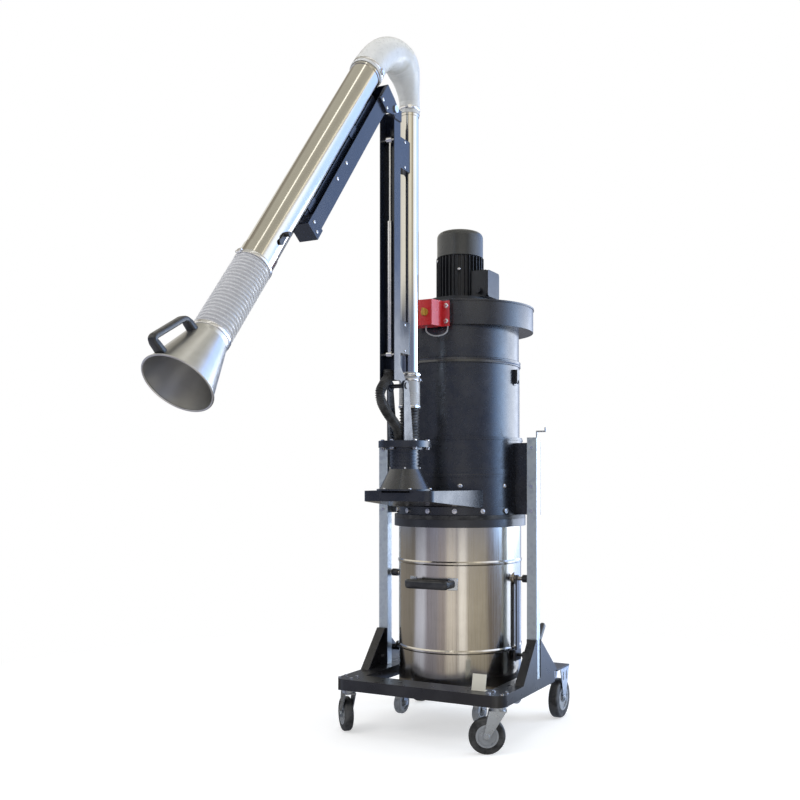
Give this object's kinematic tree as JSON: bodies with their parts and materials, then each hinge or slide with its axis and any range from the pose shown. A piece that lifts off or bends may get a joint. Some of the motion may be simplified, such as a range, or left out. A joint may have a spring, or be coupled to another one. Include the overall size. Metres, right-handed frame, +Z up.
{
  "type": "mobile fume extractor",
  "caption": "Mobile fume extractor: wheeled cart, drop-down dust container, filter chamber with top fan, and a jointed extraction arm with a hood.",
  "frame": {"origin": "on the floor, under the middle of the whole machine's bounding box at rest", "axes": "+Z up, -Y to the front, where the arm and its hood point, +X to the side of the motor's terminal box"},
  "size_m": [0.7391, 1.92, 2.3871],
  "materials": {
    "cart_paint": "black powder coat, satin",
    "machine_paint": "black powder coat, satin",
    "beam_paint": "blue-black powder coat, satin",
    "signal_paint": "red powder coat",
    "tag_paint": "cream paint, matt",
    "motor_paint": "dark grey paint",
    "galvanised": "galvanised sheet",
    "zinc": "bright zinc plate",
    "stainless": "brushed stainless sheet",
    "polished": "polished stainless tube",
    "wheel_rubber": "black rubber",
    "hub_plastic": "grey nylon",
    "black_plastic": "black plastic",
    "black_rubber": "black rubber",
    "pale_hose": "translucent pale hose",
    "yellow_plastic": "yellow plastic",
    "filter_media": "pleated filter cloth",
    "light_alloy": "cast aluminium",
    "lead_plastic": "grey cable sheath"
  },
  "bodies": {
    "machine": {"cart_frame": "cart_paint", "gussets": "cart_paint", "posts": "galvanised", "frame_bolts": "zinc", "lead_hook": "zinc", "tag_plate": "tag_paint", "front_caster_plates": "zinc", "rear_caster_forks": "zinc", "container_seal": "black_rubber", "lower_chamber": "machine_paint", "upper_chamber": "machine_paint", "filter_cover": "machine_paint", "filter_cartridge": "filter_media", "fan_housing": "machine_paint", "motor_body": "motor_paint", "motor_cowl": "motor_paint", "terminal_box": "motor_paint", "switch_box": "signal_paint", "switch_lead": "lead_plastic", "inlet_duct": "machine_paint", "inlet_cone": "machine_paint"},
    "caster_left": {"caster_fork_left": "zinc"},
    "caster_right": {"caster_fork_right": "zinc"},
    "wheel_front_left": {"tyre_front_left": "wheel_rubber", "hub_front_left": "hub_plastic"},
    "wheel_front_right": {"tyre_front_right": "wheel_rubber", "hub_front_right": "hub_plastic"},
    "wheel_rear_left": {"tyre_rear_left": "wheel_rubber", "hub_rear_left": "hub_plastic"},
    "wheel_rear_right": {"tyre_rear_right": "wheel_rubber", "hub_rear_right": "hub_plastic"},
    "container": {"container_body": "stainless", "container_rim": "black_plastic", "container_handle": "black_plastic", "container_casters": "zinc", "lift_links": "cart_paint"},
    "container_wheel_1": {"container_wheel_1": "hub_plastic"},
    "container_wheel_2": {"container_wheel_2": "hub_plastic"},
    "container_wheel_3": {"container_wheel_3": "hub_plastic"},
    "container_wheel_4": {"container_wheel_4": "hub_plastic"},
    "levers": {"release_lever": "cart_paint"},
    "latch_left": {"cover_latch_left": "cart_paint"},
    "latch_right": {"cover_latch_right": "cart_paint"},
    "fan": {"impeller": "light_alloy", "rotor": "zinc"},
    "knob": {"switch_knob": "yellow_plastic"},
    "arm_base": {"swivel_base": "beam_paint", "base_hose": "black_rubber", "conduit": "black_plastic"},
    "lower_arm": {"lower_beam": "beam_paint", "lower_tube": "polished", "gas_spring": "zinc", "elbow_pin": "zinc", "elbow_hose": "pale_hose"},
    "upper_arm": {"upper_beam": "beam_paint", "upper_tube": "polished", "wrist_hose": "pale_hose"},
    "damper": {"damper": "cart_paint"},
    "hood": {"hood": "polished", "hood_handle": "black_plastic"}
  },
  "joints": [
    {"name": "caster_swivel_left", "type": "hinge", "parent": "machine", "child": "caster_left", "pos_m": [-0.298, 0.32311, 0.163], "axis": [0, 0, 1], "continuous": true},
    {"name": "caster_swivel_right", "type": "hinge", "parent": "machine", "child": "caster_right", "pos_m": [0.298, 0.32311, 0.163], "axis": [0, 0, 1], "continuous": true},
    {"name": "wheel_front_left", "type": "hinge", "parent": "caster_left", "child": "wheel_front_left", "pos_m": [-0.32475, 0.3472, 0.0625], "axis": [-0.6691, -0.7431, 0], "continuous": true},
    {"name": "wheel_front_right", "type": "hinge", "parent": "caster_right", "child": "wheel_front_right", "pos_m": [0.26592, 0.30677, 0.0625], "axis": [0.454, -0.891, 0], "continuous": true},
    {"name": "wheel_rear_left", "type": "hinge", "parent": "machine", "child": "wheel_rear_left", "pos_m": [-0.305, 0.88511, 0.075], "axis": [1, 0, 0], "continuous": true},
    {"name": "wheel_rear_right", "type": "hinge", "parent": "machine", "child": "wheel_rear_right", "pos_m": [0.305, 0.88511, 0.075], "axis": [1, 0, 0], "continuous": true},
    {"name": "container_lift", "type": "slide", "parent": "machine", "child": "container", "axis": [0, 0, 1], "range_m": [-0.055, 0]},
    {"name": "container_wheel_1", "type": "hinge", "parent": "container", "child": "container_wheel_1", "pos_m": [-0.16, 0.47012, 0.095], "axis": [1, 0, 0], "continuous": true},
    {"name": "container_wheel_2", "type": "hinge", "parent": "container", "child": "container_wheel_2", "pos_m": [0.16, 0.47012, 0.095], "axis": [1, 0, 0], "continuous": true},
    {"name": "container_wheel_3", "type": "hinge", "parent": "container", "child": "container_wheel_3", "pos_m": [0.16, 0.80012, 0.095], "axis": [1, 0, 0], "continuous": true},
    {"name": "container_wheel_4", "type": "hinge", "parent": "container", "child": "container_wheel_4", "pos_m": [-0.16, 0.80012, 0.095], "axis": [1, 0, 0], "continuous": true},
    {"name": "lever_turn", "type": "hinge", "parent": "machine", "child": "levers", "pos_m": [0, 0.70512, 0.252], "axis": [1, 0, 0], "range_deg": [0, 38.24]},
    {"name": "latch_left_turn", "type": "hinge", "parent": "machine", "child": "latch_left", "pos_m": [-0.2343, 0.63511, 1.2803], "axis": [0, -1, 0], "range_deg": [0, 90]},
    {"name": "latch_right_turn", "type": "hinge", "parent": "machine", "child": "latch_right", "pos_m": [0.2343, 0.63511, 1.2803], "axis": [0, 1, 0], "range_deg": [0, 90]},
    {"name": "fan_spin", "type": "hinge", "parent": "machine", "child": "fan", "pos_m": [0, 0.63511, 1.5188], "axis": [0, 0, 1], "continuous": true},
    {"name": "switch_turn", "type": "hinge", "parent": "machine", "child": "knob", "pos_m": [0.015, 0.33011, 1.5083], "axis": [0, 1, 0], "range_deg": [0, 90]},
    {"name": "arm_swivel", "type": "hinge", "parent": "machine", "child": "arm_base", "pos_m": [0, 0.21712, 1.0306], "axis": [0, 0, 1], "range_deg": [-90, 90]},
    {"name": "lower_arm_tilt", "type": "hinge", "parent": "arm_base", "child": "lower_arm", "pos_m": [0, 0.17011, 1.236], "axis": [1, 0, 0], "range_deg": [-3, 35], "deforming": ["base_hose", "conduit"]},
    {"name": "elbow", "type": "hinge", "parent": "lower_arm", "child": "upper_arm", "pos_m": [0, 0.09212, 2.132], "axis": [1, 0, 0], "range_deg": [-60, 22], "deforming": ["elbow_hose"]},
    {"name": "damper_turn", "type": "hinge", "parent": "upper_arm", "child": "damper", "pos_m": [0, -0.53227, 1.55798], "axis": [1, 0, 0], "range_deg": [0, 90]},
    {"name": "wrist_tilt", "type": "hinge", "parent": "upper_arm", "child": "hood", "pos_m": [0, -0.66935, 1.38299], "axis": [1, 0, 0], "range_deg": [-45, 45], "deforming": ["wrist_hose"]}
  ],
  "couplings": [
    {"joint": "lever_turn", "follows": "container_lift", "rad_per_m": -12.128}
  ]
}
